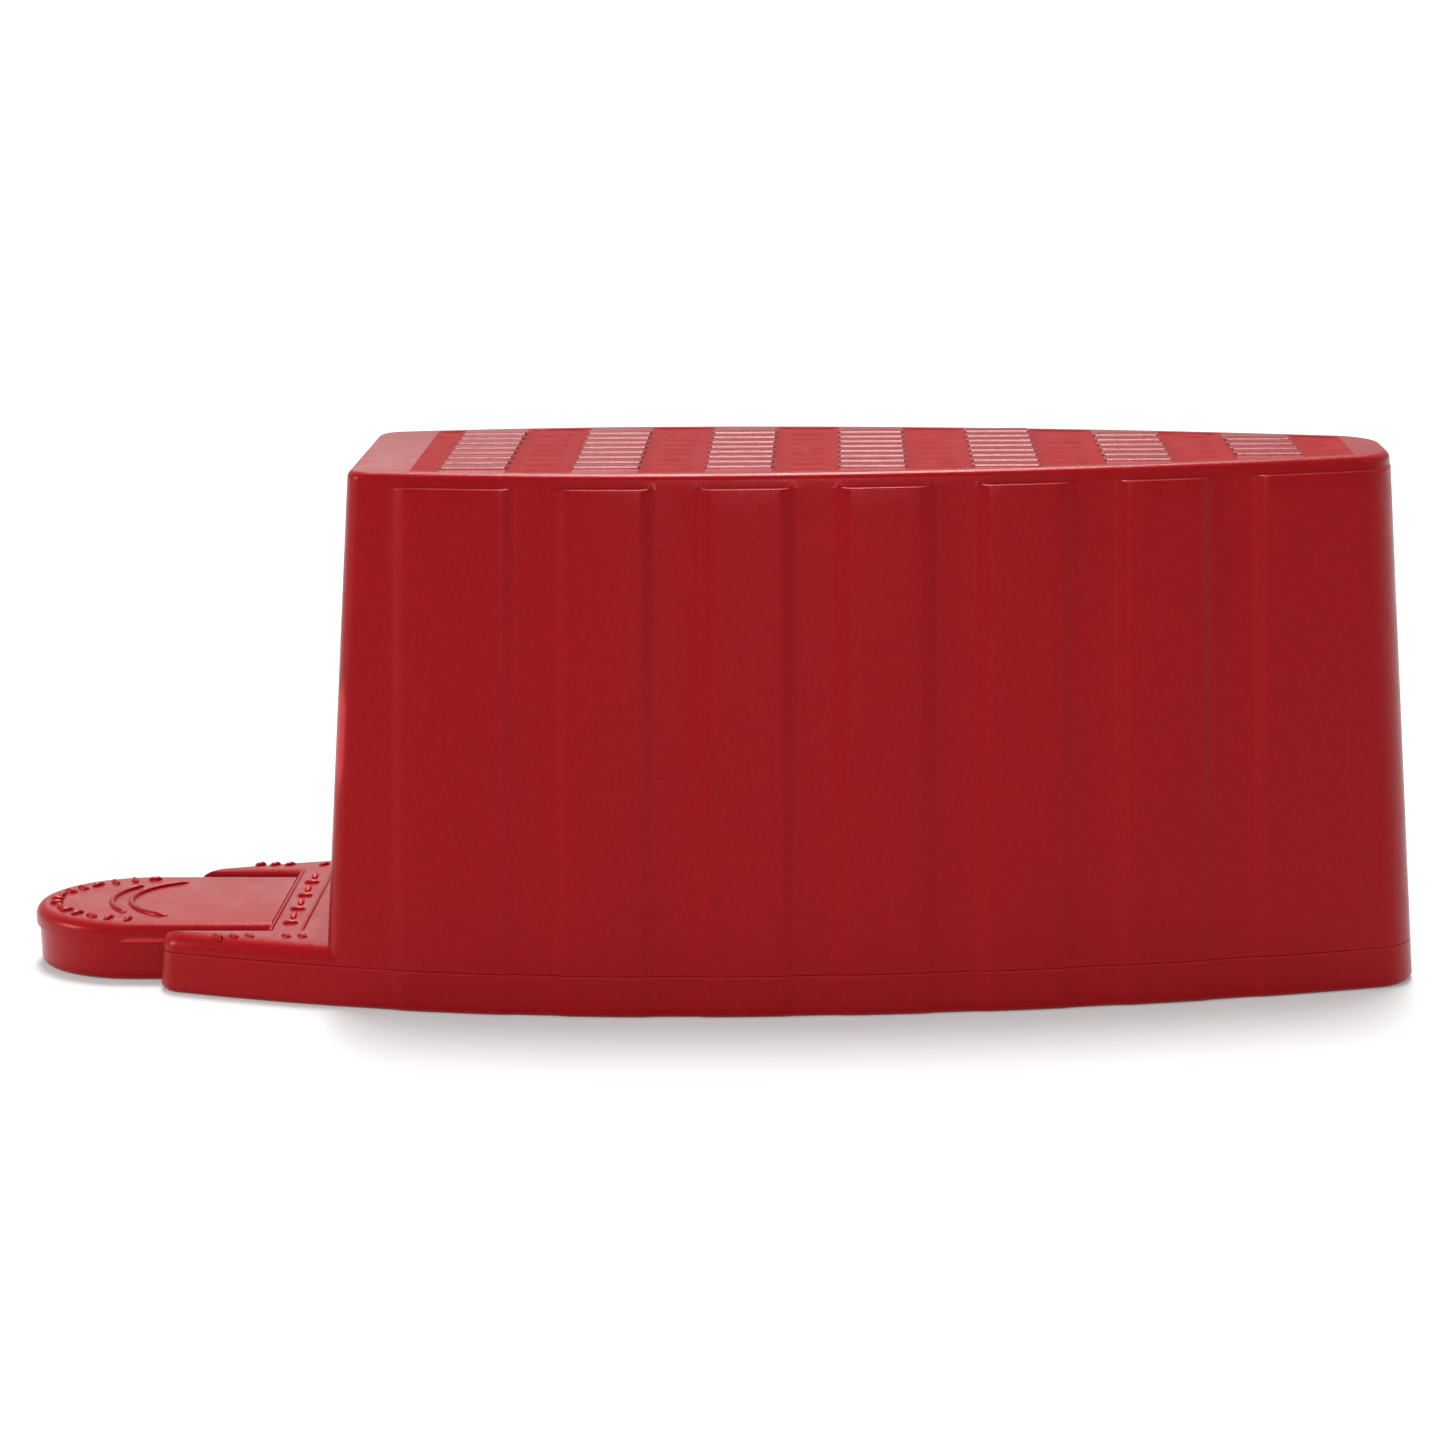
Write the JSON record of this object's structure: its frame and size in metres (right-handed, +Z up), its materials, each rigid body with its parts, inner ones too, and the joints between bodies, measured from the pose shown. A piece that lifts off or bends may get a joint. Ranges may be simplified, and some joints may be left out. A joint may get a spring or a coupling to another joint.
{
  "type": "door wedge",
  "caption": "Hollow moulded door wedge: a fluted double-convex block with ribbed grip bands, on a foot with a rounded hanging tongue between two slotted ears.",
  "frame": {"origin": "centre of the bounding box's bottom face, on the plane that the wedge stands on", "axes": "+X along the length from the hanging tongue to the thin end of the wedge, +Y across the thickness between the two gripping faces, +Z up from the foot to the ribbed side face"},
  "size_m": [0.1329, 0.0358, 0.0503],
  "materials": {
    "shell_plastic": "semi-gloss moulded red polycarbonate with fine mould texture",
    "base_plastic": "semi-gloss moulded red polycarbonate"
  },
  "bodies": {
    "root": {"upper_shell": "shell_plastic", "base_plate": "base_plastic"}
  },
  "joints": []
}
